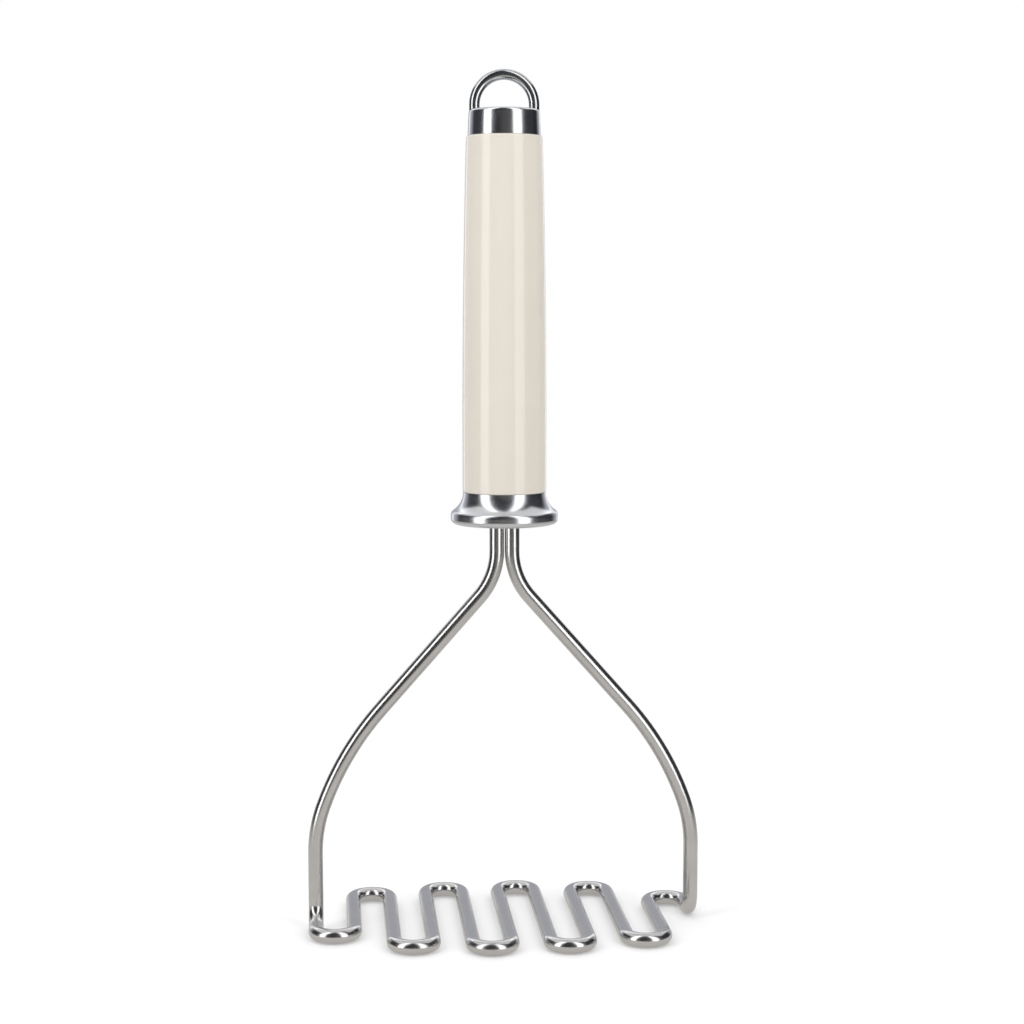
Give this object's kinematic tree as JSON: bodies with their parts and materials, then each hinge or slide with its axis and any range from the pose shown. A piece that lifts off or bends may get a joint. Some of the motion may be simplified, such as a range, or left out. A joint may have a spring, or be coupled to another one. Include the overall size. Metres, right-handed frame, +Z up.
{
  "type": "potato masher",
  "caption": "Hand masher: a zigzag face bent from one steel wire, two arms rising to a chromed bolster, and a cream grip with a hanging loop.",
  "frame": {"origin": "under the centre of the mashing face, on the surface the masher stands on", "axes": "+Z up the handle, +X across the arms to the right, +Y away from the user"},
  "size_m": [0.1204, 0.0666, 0.26],
  "materials": {
    "polished_wire": "mirror-polished stainless steel wire",
    "chromed_casting": "chrome plate on a die casting",
    "cream_plastic": "glossy moulded plastic",
    "core_plastic": "moulded, unfinished",
    "screw_steel": "zinc-plated steel"
  },
  "bodies": {
    "root": {"mash_wire": "polished_wire", "bolster": "chromed_casting", "core_front_half": "core_plastic", "core_back_half": "core_plastic", "grip": "cream_plastic", "screw_washer": "screw_steel", "handle_screw": "screw_steel", "end_cap": "chromed_casting", "hang_loop": "chromed_casting"}
  },
  "joints": []
}
